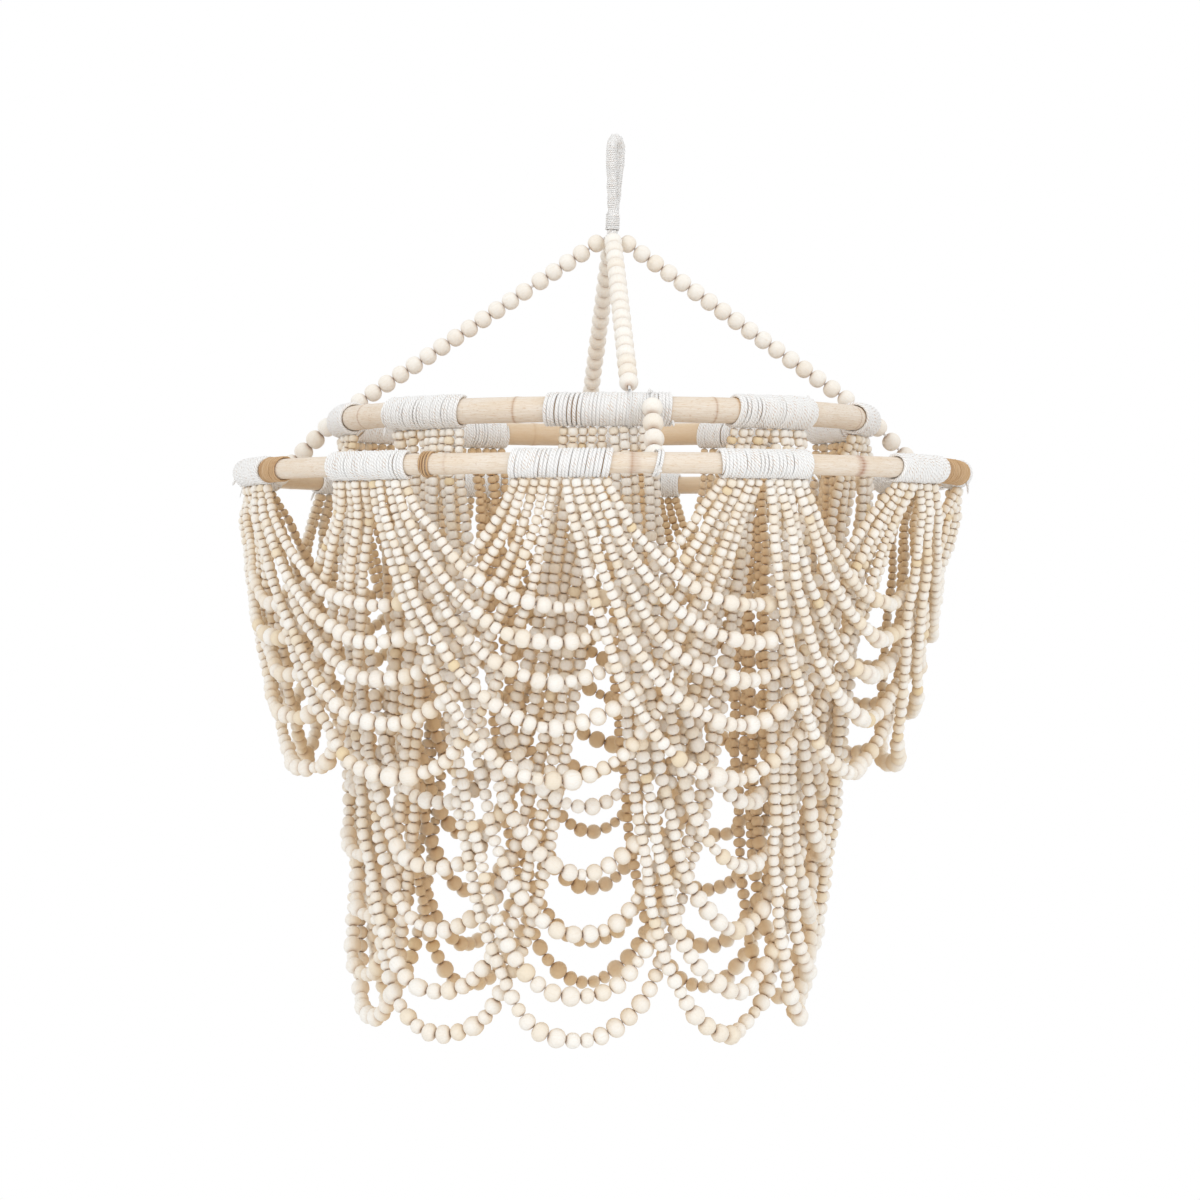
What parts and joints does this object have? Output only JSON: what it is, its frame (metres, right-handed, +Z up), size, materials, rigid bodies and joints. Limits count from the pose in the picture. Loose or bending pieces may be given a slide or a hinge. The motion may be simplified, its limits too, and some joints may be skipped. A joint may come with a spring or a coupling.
{
  "type": "beaded chandelier",
  "caption": "Hanging bead chandelier: cane hoops on bead strands below a cotton loop, with tiers of nested wooden bead swags bound to the hoops by cotton cord.",
  "frame": {"origin": "Inside top of the cotton loop, where it rests on its hook", "axes": "+Z up along the hanging line, +X to the right and -Y towards the viewer in the pictured view"},
  "size_m": [0.6101, 0.6116, 0.7388],
  "materials": {
    "cotton": "matt twisted cotton cord",
    "cane": "satin bare cane",
    "binding": "matt cane strip",
    "bead": "matt unfinished wood"
  },
  "bodies": {
    "loop": {"hanging_loop": "cotton", "loop_whipping": "cotton"},
    "crown": {"crown_knot": "cotton"},
    "frame": {"upper_hoop": "cane", "outer_hoop": "cane", "hanger_strand_front": "bead", "hanger_strand_right": "bead", "hanger_strand_back": "bead", "hanger_strand_left": "bead", "drop_strand_front": "bead", "drop_strand_right": "bead", "drop_strand_back": "bead", "drop_strand_left": "bead", "upper_wrap_01": "cotton", "upper_wrap_02": "cotton", "upper_wrap_03": "cotton", "upper_wrap_04": "cotton", "upper_wrap_05": "cotton", "upper_wrap_06": "cotton", "upper_wrap_07": "cotton", "upper_wrap_08": "cotton", "upper_wrap_09": "cotton", "upper_wrap_10": "cotton", "outer_wrap_01": "cotton", "outer_wrap_02": "cotton", "outer_wrap_03": "cotton", "outer_wrap_04": "cotton", "outer_wrap_05": "cotton", "outer_wrap_06": "cotton", "outer_wrap_07": "cotton", "outer_wrap_08": "cotton", "outer_wrap_09": "cotton", "outer_wrap_10": "cotton", "outer_wrap_11": "cotton", "outer_wrap_12": "cotton", "cane_binding_01": "binding", "cane_binding_02": "binding", "cane_binding_03": "binding"},
    "inner_swags_01": {"inner_swags_01": "bead"},
    "inner_swags_02": {"inner_swags_02": "bead"},
    "inner_swags_03": {"inner_swags_03": "bead"},
    "inner_swags_04": {"inner_swags_04": "bead"},
    "inner_swags_05": {"inner_swags_05": "bead"},
    "inner_swags_06": {"inner_swags_06": "bead"},
    "inner_swags_07": {"inner_swags_07": "bead"},
    "inner_swags_08": {"inner_swags_08": "bead"},
    "inner_swags_09": {"inner_swags_09": "bead"},
    "inner_swags_10": {"inner_swags_10": "bead"},
    "outer_swags_01": {"outer_swags_01": "bead"},
    "outer_swags_02": {"outer_swags_02": "bead"},
    "outer_swags_03": {"outer_swags_03": "bead"},
    "outer_swags_04": {"outer_swags_04": "bead"},
    "outer_swags_05": {"outer_swags_05": "bead"},
    "outer_swags_06": {"outer_swags_06": "bead"},
    "outer_swags_07": {"outer_swags_07": "bead"},
    "outer_swags_08": {"outer_swags_08": "bead"},
    "outer_swags_09": {"outer_swags_09": "bead"},
    "outer_swags_10": {"outer_swags_10": "bead"},
    "outer_swags_11": {"outer_swags_11": "bead"},
    "outer_swags_12": {"outer_swags_12": "bead"}
  },
  "joints": [
    {"name": "loop_turn", "type": "hinge", "parent": "loop", "child": "crown", "pos_m": [0, 0, -0.074], "axis": [0, 0, 1], "range_deg": [-180, 180]},
    {"name": "crown_sway", "type": "hinge", "parent": "crown", "child": "frame", "pos_m": [0, 0, -0.074], "axis": [0, 1, 0], "range_deg": [-10, 10]},
    {"name": "inner_swags_01_flare", "type": "hinge", "parent": "frame", "child": "inner_swags_01", "pos_m": [-0.00471, -0.1798, -0.24646], "axis": [-0.9986, 0.0262, -0.0449], "range_deg": [0, 4]},
    {"name": "inner_swags_02_flare", "type": "hinge", "parent": "frame", "child": "inner_swags_02", "pos_m": [0.11441, -0.13879, -0.2411], "axis": [-0.7712, -0.6357, -0.0347], "range_deg": [0, 4]},
    {"name": "inner_swags_03_flare", "type": "hinge", "parent": "frame", "child": "inner_swags_03", "pos_m": [0.17529, -0.04861, -0.23836], "axis": [-0.2672, -0.9636, -0.012], "range_deg": [0, 4]},
    {"name": "inner_swags_04_flare", "type": "hinge", "parent": "frame", "child": "inner_swags_04", "pos_m": [0.17489, 0.07066, -0.23838], "axis": [0.3746, -0.9271, 0.0169], "range_deg": [0, 4]},
    {"name": "inner_swags_05_flare", "type": "hinge", "parent": "frame", "child": "inner_swags_05", "pos_m": [0.10548, 0.15638, -0.2415], "axis": [0.8285, -0.5588, 0.0373], "range_deg": [0, 4]},
    {"name": "inner_swags_06_flare", "type": "hinge", "parent": "frame", "child": "inner_swags_06", "pos_m": [0, 0.18862, -0.24625], "axis": [0.999, 0, 0.045], "range_deg": [0, 4]},
    {"name": "inner_swags_07_flare", "type": "hinge", "parent": "frame", "child": "inner_swags_07", "pos_m": [-0.10548, 0.15638, -0.251], "axis": [0.8285, 0.5588, 0.0373], "range_deg": [0, 4]},
    {"name": "inner_swags_08_flare", "type": "hinge", "parent": "frame", "child": "inner_swags_08", "pos_m": [-0.17489, 0.07066, -0.25412], "axis": [0.3746, 0.9271, 0.0169], "range_deg": [0, 4]},
    {"name": "inner_swags_09_flare", "type": "hinge", "parent": "frame", "child": "inner_swags_09", "pos_m": [-0.17938, -0.04472, -0.25432], "axis": [-0.2419, 0.9702, -0.0109], "range_deg": [0, 4]},
    {"name": "inner_swags_10_flare", "type": "hinge", "parent": "frame", "child": "inner_swags_10", "pos_m": [-0.11066, -0.13912, -0.25123], "axis": [-0.7821, 0.6221, -0.0352], "range_deg": [0, 4]},
    {"name": "outer_swags_01_flare", "type": "hinge", "parent": "frame", "child": "outer_swags_01", "pos_m": [-0.02768, -0.26112, -0.2895], "axis": [-0.9934, 0.1053, -0.0447], "range_deg": [0, 4.5]},
    {"name": "outer_swags_02_flare", "type": "hinge", "parent": "frame", "child": "outer_swags_02", "pos_m": [0.1125, -0.2348, -0.28319], "axis": [-0.9011, -0.4317, -0.0405], "range_deg": [0, 4.5]},
    {"name": "outer_swags_03_flare", "type": "hinge", "parent": "frame", "child": "outer_swags_03", "pos_m": [0.21556, -0.1443, -0.27855], "axis": [-0.5561, -0.8307, -0.025], "range_deg": [0, 4.5]},
    {"name": "outer_swags_04_flare", "type": "hinge", "parent": "frame", "child": "outer_swags_04", "pos_m": [0.26425, -0.01616, -0.27636], "axis": [-0.061, -0.9981, -0.0027], "range_deg": [0, 4.5]},
    {"name": "outer_swags_05_flare", "type": "hinge", "parent": "frame", "child": "outer_swags_05", "pos_m": [0.24088, 0.11748, -0.27741], "axis": [0.4383, -0.8986, 0.0197], "range_deg": [0, 4.5]},
    {"name": "outer_swags_06_flare", "type": "hinge", "parent": "frame", "child": "outer_swags_06", "pos_m": [0.15501, 0.21732, -0.28127], "axis": [0.8136, -0.5803, 0.0366], "range_deg": [0, 4.5]},
    {"name": "outer_swags_07_flare", "type": "hinge", "parent": "frame", "child": "outer_swags_07", "pos_m": [0.02997, 0.26304, -0.2869], "axis": [0.9926, -0.1131, 0.0447], "range_deg": [0, 4.5]},
    {"name": "outer_swags_08_flare", "type": "hinge", "parent": "frame", "child": "outer_swags_08", "pos_m": [-0.09959, 0.24649, -0.29273], "axis": [0.9264, 0.3743, 0.0417], "range_deg": [0, 4.5]},
    {"name": "outer_swags_09_flare", "type": "hinge", "parent": "frame", "child": "outer_swags_09", "pos_m": [-0.20891, 0.16617, -0.29765], "axis": [0.6223, 0.7823, 0.028], "range_deg": [0, 4.5]},
    {"name": "outer_swags_10_flare", "type": "hinge", "parent": "frame", "child": "outer_swags_10", "pos_m": [-0.26111, 0.04369, -0.3], "axis": [0.165, 0.9863, 0.0074], "range_deg": [0, 4.5]},
    {"name": "outer_swags_11_flare", "type": "hinge", "parent": "frame", "child": "outer_swags_11", "pos_m": [-0.24104, -0.09617, -0.2991], "axis": [-0.3705, 0.9287, -0.0167], "range_deg": [0, 4.5]},
    {"name": "outer_swags_12_flare", "type": "hinge", "parent": "frame", "child": "outer_swags_12", "pos_m": [-0.1589, -0.20411, -0.2954], "axis": [-0.7886, 0.6139, -0.0355], "range_deg": [0, 4.5]}
  ],
  "couplings": [
    {"joint": "inner_swags_02_flare", "follows": "inner_swags_01_flare", "ratio": 1},
    {"joint": "inner_swags_03_flare", "follows": "inner_swags_01_flare", "ratio": 1},
    {"joint": "inner_swags_04_flare", "follows": "inner_swags_01_flare", "ratio": 1},
    {"joint": "inner_swags_05_flare", "follows": "inner_swags_01_flare", "ratio": 1},
    {"joint": "inner_swags_06_flare", "follows": "inner_swags_01_flare", "ratio": 1},
    {"joint": "inner_swags_07_flare", "follows": "inner_swags_01_flare", "ratio": 1},
    {"joint": "inner_swags_08_flare", "follows": "inner_swags_01_flare", "ratio": 1},
    {"joint": "inner_swags_09_flare", "follows": "inner_swags_01_flare", "ratio": 1},
    {"joint": "inner_swags_10_flare", "follows": "inner_swags_01_flare", "ratio": 1},
    {"joint": "outer_swags_02_flare", "follows": "outer_swags_01_flare", "ratio": 1},
    {"joint": "outer_swags_03_flare", "follows": "outer_swags_01_flare", "ratio": 1},
    {"joint": "outer_swags_04_flare", "follows": "outer_swags_01_flare", "ratio": 1},
    {"joint": "outer_swags_05_flare", "follows": "outer_swags_01_flare", "ratio": 1},
    {"joint": "outer_swags_06_flare", "follows": "outer_swags_01_flare", "ratio": 1},
    {"joint": "outer_swags_07_flare", "follows": "outer_swags_01_flare", "ratio": 1},
    {"joint": "outer_swags_08_flare", "follows": "outer_swags_01_flare", "ratio": 1},
    {"joint": "outer_swags_09_flare", "follows": "outer_swags_01_flare", "ratio": 1},
    {"joint": "outer_swags_10_flare", "follows": "outer_swags_01_flare", "ratio": 1},
    {"joint": "outer_swags_11_flare", "follows": "outer_swags_01_flare", "ratio": 1},
    {"joint": "outer_swags_12_flare", "follows": "outer_swags_01_flare", "ratio": 1}
  ]
}
